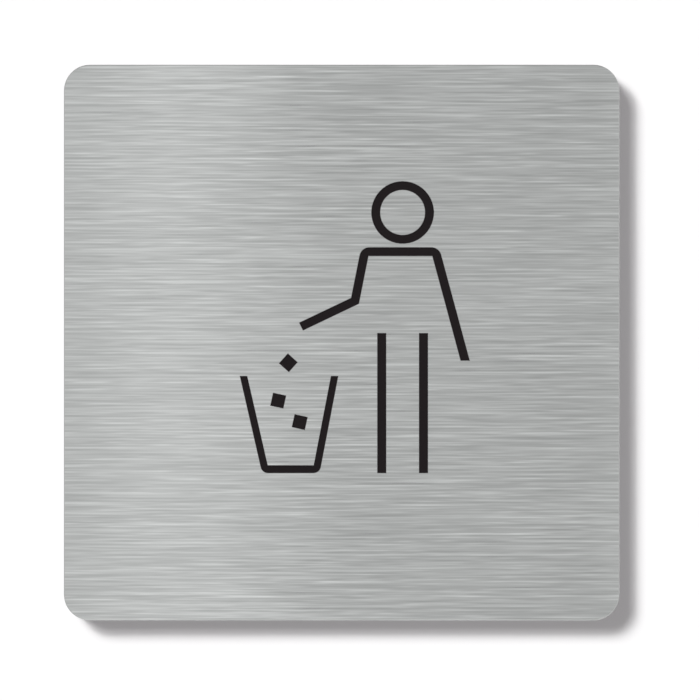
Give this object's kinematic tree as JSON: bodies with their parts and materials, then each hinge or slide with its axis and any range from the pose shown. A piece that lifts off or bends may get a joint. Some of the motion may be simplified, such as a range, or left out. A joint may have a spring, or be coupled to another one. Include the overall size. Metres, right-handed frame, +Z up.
{
  "type": "waste bin sign",
  "caption": "Square brushed steel wall sign with rounded corners and an enamel-filled pictogram of a figure dropping litter in a bin; fixed with foam tape, no screws.",
  "frame": {"origin": "middle of the middle tape strip's back, on the wall plane", "axes": "+Y into the wall, -Y out of the sign's face towards the reader, +X to the reader's right, +Z up"},
  "size_m": [0.15, 0.0035, 0.15],
  "materials": {
    "brushed_steel": "stainless steel, brushed from side to side on the face, mill finish on the back",
    "black_enamel": "black enamel, semi-matt",
    "foam_tape": "dark grey closed-cell acrylic foam with a tacky skin"
  },
  "bodies": {
    "root": {"sign_plate": "brushed_steel", "enamel_head_ring": "black_enamel", "enamel_shoulders_and_arms": "black_enamel", "enamel_left_leg": "black_enamel", "enamel_right_leg": "black_enamel", "enamel_bin": "black_enamel", "enamel_litter_square_upper": "black_enamel", "enamel_litter_square_middle": "black_enamel", "enamel_litter_square_lower": "black_enamel", "foam_tape_left": "foam_tape", "foam_tape_middle": "foam_tape", "foam_tape_right": "foam_tape"}
  },
  "joints": []
}
